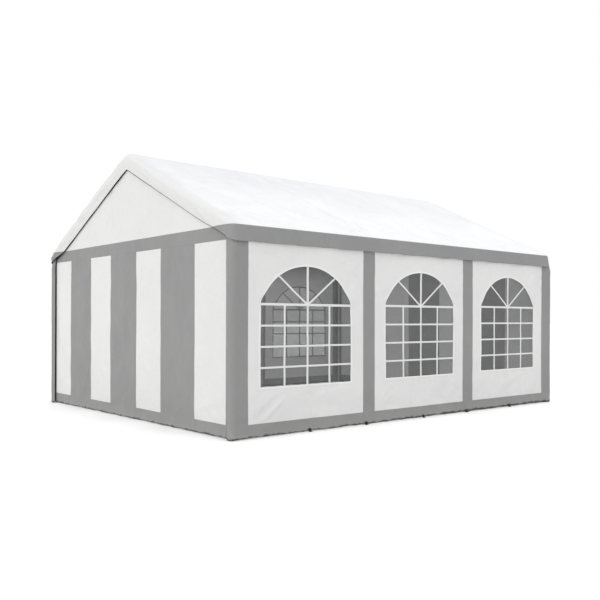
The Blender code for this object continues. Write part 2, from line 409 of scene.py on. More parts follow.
def roof_tone(nodes, clouds, x, y, z):
    """The roof's white, with painted shade: darker towards the ridge and the striped end, and painted darker still
    on the strips over the gables; the clouds vary it at random.
    """
    down = nodes.map(nodes.math("ABSOLUTE", y), 0.4, 1.7, 0.62, 0.0)
    along = nodes.map(x, -COVER_X, COVER_X, 0.22, -0.12)
    near_end = nodes.map(nodes.math("SUBTRACT", x, nodes.map(clouds, 0.3, 0.7, -0.12, 0.12)), -3.02, -2.80, 0.5, 0.0)
    roof_shade = nodes.math("ADD", nodes.math("ADD", down, along), nodes.map(clouds, 0.3, 0.7, -0.35, 0.35))
    past = nodes.map(nodes.math("ABSOLUTE", x), MARGIN_START, COVER_X - 0.03)
    return nodes.mix(past, nodes.mix(nodes.math("ADD", roof_shade, near_end), *ROOF_WHITE_AND_SHADE), STRIP_SHADED_WHITE)


def cover_white(nodes, x, y, z):
    return nodes.map(z, BAND_TOP - 0.0012, BAND_TOP + 0.0012)


def cover_seams(nodes, x, y, z):
    """Welds across the roof at the frames, and the stitched hem of the hanging edge."""
    welds = nodes.lines(x, [leg + at for leg in FRAME_X[1:3] for at in (-0.0125, 0.0125)], 0.0032)
    hem = nodes.lines(z, [EAVE_TOP - VALANCE_DROP + HEM_FOLD], 0.0024)
    return nodes.math("MULTIPLY", nodes.math("MAXIMUM", welds, hem), 0.5)


def side_white(nodes, x, y, z):
    panels = nodes.most([nodes.between(x, low, high) for low, high in SIDE_WHITE])
    return nodes.math("MULTIPLY", panels, nodes.map(z, WHITE_BOTTOM - 0.0012, WHITE_BOTTOM + 0.0012))


def side_seams(nodes, x, y, z):
    """The panels' upright joins, which run on to the ground."""
    joins = nodes.lines(x, [edge for panel in SIDE_WHITE for edge in panel], 0.0044)
    return nodes.math("MULTIPLY", joins, nodes.map(z, WHITE_BOTTOM, WHITE_BOTTOM + 0.03, 1.0, 0.15))


def end_white(nodes, x, y, z):
    stripes = nodes.most([nodes.between(y, low, high) for low, high in END_WHITE])
    field = nodes.math("MULTIPLY", stripes, nodes.between(z, WHITE_BOTTOM, END_BAND_BOTTOM))
    return nodes.math("MAXIMUM", field, nodes.map(z, BAND_TOP - 0.0012, BAND_TOP + 0.0012))


def end_seams(nodes, x, y, z):
    """The stripes' upright joins, and the level join under the gable."""
    joins = nodes.lines(y, [edge for stripe in END_WHITE for edge in stripe], 0.0040)
    joins = nodes.math("MULTIPLY", joins, nodes.map(z, WHITE_BOTTOM, WHITE_BOTTOM + 0.03, 0.9, 0.2))
    joins = nodes.math("MULTIPLY", joins, nodes.map(z, END_BAND_BOTTOM - 0.01, END_BAND_BOTTOM + 0.01, 1.0, 0.0))
    return nodes.math("MAXIMUM", joins, nodes.lines(z, [END_BAND_BOTTOM], 0.0036))


def bar_material():
    nodes = Nodes("white_bar")
    place, _ = nodes.place()
    tone = nodes.mix(nodes.noise(place, 6.0), (0.650, 0.650, 0.644), (0.610, 0.611, 0.607))
    nodes.set(Base_Color=tone, Roughness=0.42)
    nodes.bump([(nodes.noise(place, 40.0, 3.0), 0.12, 0.001)])
    return nodes.material


def film_material():
    """Smoky clear film with faint clouds in it."""
    nodes = Nodes("window_film")
    place, _ = nodes.place()
    haze = nodes.map(nodes.noise(place, 2.0, 5.0, 0.6, 0.8), 0.3, 0.7)
    nodes.set(Base_Color=nodes.mix(haze, (0.078, 0.079, 0.082), (0.108, 0.109, 0.110)),
              Alpha=nodes.map(haze, 0.0, 1.0, 0.33, 0.39), IOR=1.5,
              Roughness=nodes.map(nodes.noise(place, 7.0, 4.0), 0.3, 0.7, 0.10, 0.22))
    nodes.bump([(nodes.noise(place, 2.6, 4.0, 0.5, 0.5), 0.30, 0.012)])
    return nodes.material


def steel_material(name, light, dark, roughness):
    """Zinc-coated steel, with its crystal pattern and dull stains."""
    nodes = Nodes(name)
    place, _ = nodes.place()
    spangle = nodes.add("ShaderNodeTexVoronoi", feature="F1")
    nodes.feed(spangle.inputs["Vector"], place)
    nodes.feed(spangle.inputs["Scale"], 70.0)
    flakes = nodes.add("ShaderNodeSeparateColor")
    nodes.feed(flakes.inputs[0], spangle.outputs["Color"])
    stain = nodes.map(nodes.noise(place, 7.0, 5.0, 0.6), 0.45, 0.75, 0.0, 0.35)
    colour = nodes.mix(stain, nodes.mix(flakes.outputs[0], light, dark), (0.36, 0.36, 0.355))
    nodes.set(Base_Color=colour, Metallic=1.0,
              Roughness=nodes.map(flakes.outputs[1], 0.0, 1.0, roughness - 0.07, roughness + 0.09))
    nodes.bump([(nodes.noise(place, 55.0, 3.0), 0.10, 0.0006)])
    return nodes.material


def webbing_material():
    """Dark ribbed tape: webbing for the hem tabs, and painted shade where it stands in for the shadow in the gaps
    behind the gable hems and corner flaps.
    """
    nodes = Nodes("dark_webbing_and_gap_shade")
    place, _ = nodes.place()
    tone = nodes.mix(nodes.noise(place, 25.0, 4.0), (0.014, 0.014, 0.015), (0.030, 0.030, 0.031))
    nodes.set(Base_Color=tone, Roughness=0.85, Specular_IOR_Level=0.2)
    ribs = nodes.math("ADD", nodes.wave(place, 160.0, "Z"), nodes.wave(place, 160.0, "Y"))
    nodes.bump([(ribs, 0.3, 0.0006)])
    return nodes.material


COVER_CLOTH = cloth_material("cover_cloth", cover_white, cover_seams, roof_tone)
SIDE_CLOTH = cloth_material("side_wall_cloth", side_white, side_seams, side_tone)
END_CLOTH = cloth_material("end_wall_cloth", end_white, end_seams, end_tone)
FILM = film_material()
BAR = bar_material()
WEBBING_AND_GAP_SHADE = webbing_material()
TUBE_STEEL = steel_material("zinc_tube", (0.66, 0.67, 0.68), (0.54, 0.55, 0.56), 0.36)
FITTING_STEEL = steel_material("zinc_fitting", (0.58, 0.59, 0.60), (0.46, 0.47, 0.48), 0.44)


# Cover: one sewn sheet, with the roof, the strips over the gables and the valances

ROOF_CREASES = (
    ((-2.46, -1.98), (-2.72, -1.62), 0.060, -0.0120), ((-1.95, -1.10), (-0.85, -0.93), 0.070, -0.0130),
    ((-2.95, -1.36), (-2.25, -0.99), 0.070, 0.0120), ((-1.30, -0.48), (-0.35, -0.33), 0.060, -0.0090),
    ((-2.85, -1.75), (-2.30, -2.20), 0.055, 0.0090), ((-2.60, -0.75), (-1.70, -0.50), 0.080, -0.0080),
    ((0.60, -1.95), (1.60, -2.10), 0.055, -0.0080), ((0.20, -0.62), (1.30, -0.42), 0.080, -0.0090),
    ((2.85, -1.90), (2.10, -1.30), 0.065, 0.0090), ((-0.60, -1.70), (0.35, -1.30), 0.080, 0.0075),
    ((2.70, 1.60), (2.00, 1.10), 0.070, -0.0100), ((-2.20, 1.90), (-1.50, 1.30), 0.070, 0.0090),
    ((-0.50, 0.80), (0.60, 0.60), 0.080, -0.0085), ((0.90, 2.00), (1.80, 1.70), 0.060, 0.0080),
)


def slope_line(y):
    """Height of the tight roof over a distance from the ridge."""
    return RIDGE_TOP - SLOPE * np.sqrt(y ** 2 + RIDGE_ROUNDING ** 2)


def gable_hem(y):
    """Height of the hem that hangs over a gable."""
    least = VALANCE_DROP - 0.012
    lift = BACK_HEM_LIFT * smooth(y, 0.02, 0.15) * smooth(COVER_Y - y, 0.05, 0.35)
    full = smooth(COVER_Y - np.abs(y), 0.04, np.where(y > 0.0, 0.42, 0.70))
    return slope_line(y) - least - (STRIP_DROP - least) * full + lift


def roof_sag(x, y):
    """How far the cloth hangs below its tight line between two frames."""
    across = np.clip(np.abs(y) / COVER_Y, 0.02, 0.98)
    span = np.sin(math.pi * np.clip((x - FRAME_X[0]) / WINDOW_PITCH, 0.0, 3.0)) ** 2
    return ROOF_SAG * span * np.sin(math.pi * across) ** 0.8


def roof_relief(x, y):
    """Wrinkles of the roof cloth, as a rise over the smooth sheet."""
    calm = smooth(np.abs(y), 0.04, 0.28) * (1.0 - smooth(np.abs(y), COVER_Y - 0.20, COVER_Y - 0.03))
    calm = calm * (1.0 - smooth(np.abs(x), COVER_X - 0.24, COVER_X - 0.05))
    rise = 0.0045 * ripple(x, y, 11, 0.85) + 0.0016 * ripple(x, y, 12, 0.24)
    rise = rise + 0.0030 * ripple(x * 0.8, y * 1.6, 13, 0.60)
    for start, end, width, height in ROOF_CREASES:
        rise = rise + crease(x, y, start, end, width, height)
    for leg in FRAME_X:
        for side in (-1.0, 1.0):
            low = [side * (offset - math.pi / 2) for offset in (-0.75, -0.42, 0.40, 0.80)]
            high = [side * (math.pi / 2 + offset) for offset in (-0.85, 0.75)]
            rise = rise + fan(x, y, (leg, side * (COVER_Y - 0.05)), low, (0.75, 0.95, 0.85, 0.6), 0.038, 0.0060)
            rise = rise + fan(x, y, (leg, side * 0.03), high, (0.7, 0.6), 0.040, 0.0045)
    return rise * calm


def outline_place(x, y):
    """Distance inwards from the cover's rounded outline, and the outline's outward direction there."""
    ex = np.abs(x) - (COVER_X - COVER_CORNER)
    ey = np.abs(y) - (COVER_Y - COVER_CORNER)
    corner = (ex > 0.0) & (ey > 0.0)
    reach = np.maximum(np.hypot(np.maximum(ex, 0.0), np.maximum(ey, 0.0)), 1e-9)
    distance = np.where(corner, COVER_CORNER - reach, np.minimum(COVER_X - np.abs(x), COVER_Y - np.abs(y)))
    nx = np.where(corner, np.maximum(ex, 0.0) / reach, np.where(ex > ey, 1.0, 0.0)) * np.sign(x)
    ny = np.where(corner, np.maximum(ey, 0.0) / reach, np.where(ex > ey, 0.0, 1.0)) * np.sign(y)
    return np.clip(distance, 0.0, None), nx, ny


def round_plan(x, y):
    """Move the square corners of a plan grid onto the rounded outline."""
    ex = np.maximum(np.abs(x) - (COVER_X - COVER_CORNER), 0.0) / COVER_CORNER
    ey = np.maximum(np.abs(y) - (COVER_Y - COVER_CORNER), 0.0) / COVER_CORNER
    both = (ex > 0.0) & (ey > 0.0)
    scale = np.where(both, np.maximum(ex, ey) / np.maximum(np.hypot(ex, ey), 1e-9), 1.0)
    new_x = np.where(both, np.sign(x) * (COVER_X - COVER_CORNER + ex * scale * COVER_CORNER), x)
    new_y = np.where(both, np.sign(y) * (COVER_Y - COVER_CORNER + ey * scale * COVER_CORNER), y)
    return new_x, new_y


def corner_droop(x, y):
    return np.exp(-(np.hypot(COVER_X - np.abs(x), COVER_Y - np.abs(y)) / 0.14) ** 2)


def fold_drop(x, y):
    """How far the cover's edge rolls down near its outline."""
    distance, nx, _ = outline_place(x, y)
    gable = np.abs(nx)
    radius = EAVE_FOLD + (GABLE_FOLD - EAVE_FOLD) * gable
    radius = radius * (1.0 + 0.16 * gable * ripple(y, x, 15, 0.45, 4))
    inset = np.clip(radius - distance, 0.0, radius)
    drop = radius - np.sqrt(np.maximum(radius ** 2 - inset ** 2, 0.0))
    near_edge = gable * (1.0 - smooth(distance, 0.0, 0.08))
    apex = 0.016 * np.exp(-(y / 0.13) ** 2)
    bow = np.sin(math.pi * np.clip(np.abs(y) / COVER_Y, 0.0, 1.0)) * np.where(y > 0.0, -0.034, 0.022)
    return drop + near_edge * (apex + bow)


def cover_lines():
    """Grid lines of the cover's plan, closer at its edges, ridge and welds."""
    edge = np.array([0.0, 0.0012, 0.004, 0.009, 0.016, 0.026, 0.040, 0.056, 0.076])
    welds = [leg + at for leg in FRAME_X[1:3] for at in (-0.014, -0.0125, 0.0125, 0.014)]
    inner_x = with_lines(spaced(-COVER_X + edge[-1], COVER_X - edge[-1], COVER_STEP), welds)
    xs = np.concatenate([-COVER_X + edge[:-1], inner_x, (COVER_X - edge[:-1])[::-1]])
    half = np.concatenate([[0.008, 0.020, 0.040], spaced(0.066, COVER_Y - edge[-1], COVER_STEP),
                           (COVER_Y - edge[:-1])[::-1]])
    return xs, np.concatenate([-half[::-1], [0.0], half])


def hem_height(x, y, around, free):
    """Where the hanging edge ends, at a place along the outline."""
    gable = np.abs(outline_place(x, y)[1])
    height = gable * gable_hem(y) + (1.0 - gable) * (slope_line(y) - VALANCE_DROP)
    wave = 0.0020 * np.sin(math.tau * around / 0.61) + 0.0015 * np.sin(math.tau * around / 0.37 + 1.0)
    wave = wave * (1.0 - 0.7 * gable) * free
    return np.maximum(height - 0.010 * corner_droop(x, y) + wave, EAVE_TOP - VALANCE_DROP - 0.008)


def hanging_edge(top):
    """Rings of points below the cover's outline, down to its hem and round the fold of the hem."""
    px, py = top[:, 0], top[:, 1]
    _, ox, oy = outline_place(px, py)
    around = np.concatenate([[0.0], np.cumsum(np.linalg.norm(np.diff(top[:, :2], axis=0), axis=1))])
    free = smooth(np.minimum(around, around[-1] - around), 0.0, 0.20)
    hem = hem_height(px, py, around, free)
    rings = []
    for share in np.concatenate([spaced(0.0, 0.84, 0.07)[1:], [0.860, 0.868, 0.93, 1.0]]):
        depth = share * (top[:, 2] - hem)
        sway = 0.0030 * np.sin(math.tau * around / 0.83 + 0.5) + 0.0022 * np.sin(math.tau * around / 0.37)
        flare = 0.0105 * share ** 1.6 + share * sway * (1.0 - 0.7 * np.abs(ox)) * free
        roll = (0.0060 + 0.0080 * smooth(py, 0.0, 0.3)) * np.exp(-((depth - 0.055) / 0.035) ** 2)
        waves = 0.0045 * ripple(around, depth * 2.5, 16, 0.34) * math.sin(math.pi * share) * free
        tuck = GABLE_TUCK * smooth(COVER_Y - np.abs(py), 0.12, 0.45) * share ** 1.5
        out = flare + np.abs(ox) * (roll + waves - tuck) + (HEM_RELIEF if share > 0.864 else 0.0)
        out = out + 0.014 * share * corner_droop(px, py)
        rings.append(np.stack([px + ox * out, py + oy * out, top[:, 2] - depth], axis=-1))
    return rings


def make_cover():
    xs, ys = cover_lines()
    x, y = round_plan(*np.meshgrid(xs, ys, indexing="ij"))
    z = slope_line(y) - roof_sag(x, y) + roof_relief(x, y) - fold_drop(x, y)
    for leg in FRAME_X[1:3]:
        z = z + 0.0010 * (np.abs(x - leg) <= 0.0126)
    points = np.stack([x, y, z], axis=-1).reshape(-1, 3)
    faces = grid_quads(len(xs), len(ys))
    index = np.arange(len(points)).reshape(x.shape)
    loop = np.concatenate([index[:-1, 0], index[-1, :-1], index[:0:-1, -1], index[0, :0:-1]])
    rings = [points[loop]] + hanging_edge(points[loop])
    faces += grid_quads(len(rings), len(loop), first=len(points), closed=True)
    item = mesh_piece("roof_cover", np.concatenate([points] + rings), faces, COVER_CLOTH, (0.0, 0.0, 1.0))
    dress(item, ("roof_front", "roof_back", "valance_front", "valance_back",
                                "gable_strip_left", "gable_strip_right"))
    make_piping_and_gap_shade(rings[-1])


def make_piping_and_gap_shade(hem):
    """A thin dark bead on the hems over both gables, slimmer on the front slope; its darkness, and its fuller back
    side, also stand in for the shadow in the gap behind the hem (painted shade).
    """
    turn = np.linspace(0.0, math.tau, 11)
    blocks = []
    for end in (-1.0, 1.0):
        line = hem[(np.sign(hem[:, 0]) == end) & (np.abs(hem[:, 1]) < COVER_Y - COVER_CORNER)]
        line = line[np.argsort(line[:, 1])]
        travel = np.gradient(line, axis=0)
        travel = travel / np.linalg.norm(travel, axis=1, keepdims=True)
        side = np.cross(travel, [end, 0.0, 0.0])
        ring = np.cos(turn)[:, None] * side[:, None, :] + np.sin(turn)[:, None] * np.array([end, 0.0, 0.0])
        thin, full = PIPING_AND_SHADE_RADII
        radius = thin + (full - thin) * smooth(line[:, 1], -1.4, 0.0)
        blocks.append(line[:, None, :] - [0.0007 * end, 0.0, 0.0] + radius[:, None, None] * ring)
    item = mesh_piece("gable_piping_and_gap_shade", *gather(blocks), WEBBING_AND_GAP_SHADE, (0.0, 0.0, 1.0))
    return dress(item, thickness=0.0010)


# Side walls: each is one sheet that turns both corners, with three arched openings

STRAIGHT = CORNER_X - WALL_CORNER
CORNER_ARC = WALL_CORNER * math.pi / 2
SHEET_HALF = STRAIGHT + CORNER_ARC + WALL_Y - FLAP_END_Y - WALL_CORNER

SIDE_CREASES = (
    ((-2.77, 0.21), (-2.41, 0.46), 0.046, -0.0180), ((-2.82, 0.22), (-2.82, 0.55), 0.035, 0.0100),
    ((-2.68, 0.18), (-2.36, 0.41), 0.026, 0.0150), ((-1.95, 0.38), (-1.25, 0.50), 0.075, 0.0065),
    ((-2.20, 0.30), (-1.35, 0.27), 0.060, -0.0050), ((-1.16, 1.05), (-1.16, 1.55), 0.045, 0.0080),
    ((-2.83, 1.75), (-2.79, 0.75), 0.045, 0.0060), ((-2.70, 2.10), (-2.30, 2.00), 0.050, -0.0050),
    ((-1.20, 2.10), (-1.60, 1.98), 0.050, 0.0055), ((-0.85, 1.72), (-0.85, 1.05), 0.040, 0.0080),
    ((0.76, 1.45), (0.78, 0.80), 0.042, 0.0085), ((0.34, 0.30), (0.31, 0.56), 0.040, 0.0065),
    ((0.62, 0.50), (0.86, 0.30), 0.050, 0.0060), ((-0.60, 2.08), (0.10, 2.05), 0.045, 0.0055),
    ((-0.78, 0.22), (-0.45, 0.42), 0.050, 0.0050), ((2.88, 2.12), (2.45, 1.78), 0.085, 0.0110),
    ((2.10, 2.08), (2.45, 2.14), 0.040, 0.0060), ((1.18, 1.62), (1.17, 1.00), 0.042, 0.0080),
    ((1.95, 0.36), (2.35, 0.50), 0.060, 0.0060), ((1.25, 0.30), (1.65, 0.44), 0.055, -0.0055),
    ((2.80, 1.50), (2.80, 0.80), 0.040, 0.0065),
)


def wall_relief(s, z, look):
    """How far the wall cloth stands out from its plane, at a place along the sheet and a height."""
    seed, mirror = look
    s = s * mirror
    rise = 0.0050 * ripple(s, z * 0.6, seed, 1.15) + 0.0022 * ripple(s, z, seed + 1, 0.33)
    rise = rise - 0.0055 * (1.0 - np.sqrt(np.abs(np.sin(math.pi * (s - 1.0) / 2.0))))
    for leg in FRAME_X:
        rise = rise + fan(s, z, (leg, 2.16), (-1.05, -0.70, -2.05, -2.45), (0.52, 0.66, 0.60, 0.5), 0.030, 0.0045)
        rise = rise + fan(s, z, (leg, 0.10), (0.75, 1.05, 2.15, 2.50), (0.55, 0.42, 0.58, 0.45), 0.030, 0.0045)
    for start, end, width, height in SIDE_CREASES:
        rise = rise + crease(s, z, start, end, width, height)
    past = np.abs(s) - STRAIGHT
    to_leg = np.min([np.abs(s - leg) for leg in FRAME_X], axis=0)
    calm = (0.35 + 0.65 * smooth(z, HEM_Z, 0.12)) * (0.4 + 0.6 * smooth(to_leg, 0.08, 0.34))
    calm = calm * (1.0 - 0.7 * smooth(past, 0.0, CORNER_ARC))
    lower = 0.0042 * np.sin(math.tau * s / 0.55 + seed) * (1.0 - smooth(z, 0.02, 0.22))
    highest = 0.013 - 0.016 * smooth(z, 2.05, 2.15)
    bulge = (0.037 + 0.008 * mirror * np.sign(s)) * np.exp(-((past - 0.03) / 0.09) ** 2)
    bulge = bulge * (1.0 - smooth(z, 2.08, 2.28)) - 0.010 * smooth(past, -0.05, 0.0) * smooth(z, 2.22, 2.30)
    tuck = 0.014 * smooth(past, CORNER_ARC * 0.6, SHEET_HALF - STRAIGHT)
    return np.clip(rise * calm + lower - 0.002, -0.016, highest) + bulge - tuck


def wall_place(s, out, side):
    """Plan position of a place along the sheet, standing out from its face."""
    past = np.abs(s) - STRAIGHT
    angle = np.clip(past / WALL_CORNER, 0.0, math.pi / 2)
    flap = np.maximum(past - CORNER_ARC, 0.0)
    ox, oy = np.sin(angle), np.cos(angle)
    x = np.where(past <= 0.0, np.abs(s), STRAIGHT + WALL_CORNER * ox) + out * ox
    y = WALL_Y - WALL_CORNER + WALL_CORNER * oy - flap + out * oy
    return np.sign(s) * x, side * y


def window_loop(window, margin, counts):
    """Points round a window from its lower left corner, as many along each side as the panel has."""
    across, up = counts
    centre, lift, half = window
    half, rise = half + margin, WINDOW_RISE + margin
    low, spring = WINDOW_BOTTOM - margin + lift, WINDOW_SPRING + lift
    jamb = spring - low
    shoulder = math.radians(48.0)
    run = np.arange(up) / up * (jamb + shoulder * (half + rise) / 2)
    angle = np.clip((run - jamb) / ((half + rise) / 2), 0.0, None)
    height = low + np.minimum(run, jamb) + rise * np.sin(angle)
    fuller = 1.0 + 0.036 * np.exp(-((height - SHOULDER_Z) / 0.075) ** 2)
    right = np.stack([centre + half * np.minimum(np.cos(angle) * fuller, 1.0), height], -1)
    sweep = shoulder + (math.pi - 2 * shoulder) * np.arange(across + 1) / across
    arch = np.stack([centre + half * np.cos(sweep), spring + rise * np.sin(sweep)], -1)
    left = np.stack([2 * centre - right[:0:-1, 0], right[:0:-1, 1]], -1)
    bottom = np.stack([centre - half + 2 * half * np.arange(across) / across, np.full(across, low)], -1)
    return np.concatenate([bottom, right, arch, left])


def panel_loop(left, right, low, high, counts):
    """Points round a panel, numbered as those round its window."""
    across, up = counts
    over, rise = np.arange(across) / across, np.arange(up) / up
    width, height = right - left, high - low
    sides = [(left + width * over, low + 0 * over), (right + 0 * rise, low + height * rise),
             (right - width * over, high + 0 * over), (left + 0 * rise, high - height * rise)]
    return np.concatenate([np.stack(pair, -1) for pair in sides])


PANEL_EDGES = (-2.9, -1.0, 1.0, 2.9)
PANEL_LOW, PANEL_HIGH = 0.30, 2.08
PANEL_COUNTS = (92, 70)
PANEL_RINGS = 20
RIM = ((0.0, 0.0), (0.0015, 0.0016), (0.020, 0.0016), (0.022, 0.0))


class Patches:
    """Blocks of (along, height, relief) points with their faces, gathered into one sheet."""

    def __init__(self):
        self.blocks, self.faces, self.count = [], [], 0

    def add(self, along, height, relief, faces):
        self.blocks.append(np.stack(np.broadcast_arrays(along, height, relief), -1).reshape(-1, 3))
        self.faces += (np.asarray(faces) + self.count).tolist()
        self.count += len(self.blocks[-1])

    def grid(self, columns, rows, relief=0.0):
        """A plain field; relief is one number or one for each row."""
        self.add(columns[:, None], rows[None, :], relief, grid_quads(len(columns), len(rows)))

    def window_panel(self, window, left, right):
        outer = panel_loop(left, right, PANEL_LOW, PANEL_HIGH, PANEL_COUNTS)
        rings = [window_loop(window, margin, PANEL_COUNTS) for margin, _ in RIM]
        relief = [height for _, height in RIM] + [0.0] * PANEL_RINGS
        rings += [rings[-1] + (outer - rings[-1]) * (k / PANEL_RINGS) for k in range(1, PANEL_RINGS + 1)]
        rings = np.array(rings)
        faces = grid_quads(len(rings), len(outer), closed=True)
        self.add(rings[..., 0], rings[..., 1], np.array(relief)[:, None], faces)


def wall_patches():
    patches = Patches()
    for window, left, right in zip(WINDOWS, PANEL_EDGES, PANEL_EDGES[1:]):
        patches.window_panel(window, left, right)
    hem_top = HEM_Z + HEM_FOLD
    low = np.concatenate([[HEM_Z, HEM_Z + 0.010, hem_top, hem_top + 0.0015],
                          spaced(hem_top + 0.02, PANEL_LOW, 0.021)])
    low_relief = np.where(low <= hem_top, HEM_RELIEF, 0.0)
    high = spaced(PANEL_HIGH, WALL_TOP, 0.028)
    middle = np.linspace(PANEL_LOW, PANEL_HIGH, PANEL_COUNTS[1] + 1)
    turn = STRAIGHT + CORNER_ARC
    ends = np.concatenate([spaced(-SHEET_HALF, -turn, 0.02)[:-1], spaced(-turn, -STRAIGHT, 0.009)[:-1],
                           spaced(-STRAIGHT, PANEL_EDGES[0], 0.02)])
    bays = [np.linspace(left, right, PANEL_COUNTS[0] + 1) for left, right in zip(PANEL_EDGES, PANEL_EDGES[1:])]
    for columns in (ends, -ends[::-1]):
        patches.grid(columns, middle)
    for columns in [ends, -ends[::-1]] + bays:
        patches.grid(columns, low, low_relief)
        patches.grid(columns, high)
    return patches


def hem_lift(along, z, seed):
    """How far the hem hangs unevenly above the ground."""
    wave = 0.004 * np.sin(math.tau * along / 0.9 + seed) + 0.003 * np.sin(math.tau * along / 0.41)
    return np.abs(wave) * (1.0 - smooth(z, HEM_Z, 0.10))


def make_side_wall(word, side, look):
    patches = wall_patches()
    s, z, relief = np.concatenate(patches.blocks).T
    x, y = wall_place(s, wall_relief(s, z, look) + relief, side)
    past = np.abs(s) - STRAIGHT
    top = WALL_TOP - (WALL_TOP - FLAP_TOP - 0.012) * smooth(past, -0.10, 0.0)
    height = np.minimum(z + hem_lift(s, z, look[0]), np.where(past > CORNER_ARC, FLAP_TOP, top))
    item = mesh_piece(f"side_cloth_{word}", np.stack([x, y, height], -1), patches.faces, SIDE_CLOTH,
                      (0.0, 0.0, 1.2))
    dress(item, (f"side_wall_{word}", f"corner_flap_{word}_left", f"corner_flap_{word}_right"))

    def on_wall(along, high, out):
        across, deep = wall_place(along, wall_relief(along, high, look) + out, side)
        return np.stack(np.broadcast_arrays(across, deep, high), -1)

    tabs = make_hem_tabs(f"hem_tabs_{word}", [look[1] * place for place in SIDE_TABS], on_wall)


# Windows: film behind each opening, with white bars on it

FILM_COUNTS = (40, 32)
FILM_RINGS = 12
FILM_THICKNESS = 0.0006
FILM_DEPTH = 0.0040
BAR_THICKNESS = 0.0010
BAR_PROFILE = ((-0.5, -0.0014), (-0.47, 0.0), (-0.34, 0.0008), (0.0, 0.0012),
               (0.34, 0.0008), (0.47, 0.0), (0.5, -0.0014))
BAR_OVERLAP = 0.008


def film_out(s, z, look):
    """How far out the film lies: it follows the wall at its rim and is tighter inside the opening."""
    offset = (s - WINDOW_SHIFT + WINDOW_PITCH / 2) % WINDOW_PITCH - WINDOW_PITCH / 2
    arch = WINDOW_SPRING + WINDOW_RISE * np.sqrt(np.clip(1.0 - (offset / WINDOW_HALF) ** 2, 0.0, 1.0))
    room = np.minimum(np.minimum(arch - z, z - WINDOW_BOTTOM), WINDOW_HALF - np.abs(offset))
    own = 0.0014 * ripple(s, z * 0.5, look[0] + 40, 0.62) + 0.0007 * ripple(s, z, look[0] + 41, 0.25)
    wall = wall_relief(s, z, look)
    inner = 0.35 * wall + np.clip(own - 0.003, -0.008, 0.0)
    return wall - FILM_DEPTH + smooth(room, 0.0, 0.14) * np.minimum(inner - wall, 0.0)


def make_film(word, number, side, window, look):
    loop = window_loop(window, FILM_OVERLAP - 0.006, FILM_COUNTS)
    middle = np.array([window[0], (WINDOW_BOTTOM + WINDOW_TOP) / 2 + window[1]])
    shares = np.linspace(1.0, 0.0, FILM_RINGS + 1)[:-1]
    flat = np.concatenate([middle + (loop - middle) * share for share in shares] + [middle[None]])
    faces = grid_quads(FILM_RINGS, len(loop), closed=True)
    last = (FILM_RINGS - 1) * len(loop)
    faces += [[last + j, last + (j + 1) % len(loop), len(flat) - 1] for j in range(len(loop))]
    s, z = flat.T
    x, y = wall_place(s, film_out(s, z, look), side)
    item = mesh_piece(f"clear_film_{word}_{number}", np.stack([x, y, z], -1), faces, FILM, (0.0, 0.0, 1.2))
    dress(item, (f"window_film_{word}_{number}",), FILM_THICKNESS)
    bars = make_bars(word, number, side, window, look)


def bar_strip(start, end, width, lift, side, look):
    """Points of one flat bar on the film, with rolled edges."""
    (s0, z0), (s1, z1) = start, end
    length = math.hypot(s1 - s0, z1 - z0)
    run = np.linspace(0.0, 1.0, max(3, round(length / 0.025)) + 1)[:, None]
    across, rise = np.array(BAR_PROFILE).T
    s = s0 + (s1 - s0) * run - (z1 - z0) / length * across * width
    z = z0 + (z1 - z0) * run + (s1 - s0) / length * across * width
    x, y = wall_place(s, film_out(s, z, look) + BAR_THICKNESS + rise + lift, side)
    return np.stack([x, y, z], axis=-1)


def fan_reach(half):
    """How far sideways a fan bar goes before it meets the arch."""
    reach = np.linspace(0.0, half, 400)
    arch = WINDOW_SPRING + WINDOW_RISE * np.sqrt(1.0 - (reach / half) ** 2)
    return reach[np.argmin(np.abs(TRANSOM_Z + FAN_SLOPE * reach - arch))] + BAR_OVERLAP


def bar_lines(window):
    """Start, end, width and stand-off of every bar of one window."""
    centre, lift, half = window
    low, high = WINDOW_BOTTOM - BAR_OVERLAP + lift, WINDOW_TOP + BAR_OVERLAP + lift
    transom, reach, half = TRANSOM_Z + lift, fan_reach(half), half + BAR_OVERLAP
    for offset in (-COLUMN_PITCH, 0.0, COLUMN_PITCH):
        yield (centre + offset, low), (centre + offset, transom), MULLION_WIDTH, 0.0
    yield (centre, transom), (centre, high), FAN_POST_WIDTH, 0.0
    for height in BAR_ROWS:
        yield (centre - half, height + lift), (centre + half, height + lift), BAR_WIDTH, 0.0004
    yield (centre - half, transom), (centre + half, transom), TRANSOM_WIDTH, 0.0008
    for across in (-reach, reach):
        yield (centre, transom), (centre + across, transom + FAN_SLOPE * reach), BAR_WIDTH, 0.0004


def make_bars(word, number, side, window, look):
    points, faces = gather([bar_strip(*line, side, look) for line in bar_lines(window)])
    item = mesh_piece(f"window_bars_{word}_{number}", points, faces, BAR, (0.0, 0.0, 1.2))
    return dress(item, thickness=BAR_THICKNESS)


# Hem tabs: short loops of dark webbing at the foot of the walls

SIDE_TABS = (-1.975, -1.050, 0.030, 0.963, 2.010)
TAB_WIDTH = 0.048
TAB_THICKNESS = 0.0022
TAB_PROFILE = ((0.040, 0.0010), (0.033, 0.0032), (0.024, 0.0050), (0.016, 0.0075), (0.009, 0.0115),
               (0.005, 0.0170), (0.0040, 0.0230), (0.0060, 0.0280), (0.0095, 0.0270))


def make_hem_tabs(name, places, surface):
    """Folded tabs; surface gives the points on a wall for a place along it, a height and a stand-off."""
    across = np.array([-0.5, -0.42, 0.0, 0.42, 0.5]) * TAB_WIDTH
    crown = 0.0012 * (1.0 - (2.0 * np.abs(across) / TAB_WIDTH) ** 4)
    height, out = (np.array(column)[:, None] for column in zip(*TAB_PROFILE))
    points, faces = gather([surface(place + across + 0.0 * out, height + 0.0 * across, out + crown)
                            for place in places])
    item = mesh_piece(name, points, faces, WEBBING_AND_GAP_SHADE, (0.0, 0.0, 1.2))
    return dress(item, thickness=TAB_THICKNESS)


# End walls: striped sheets that run up into the gables

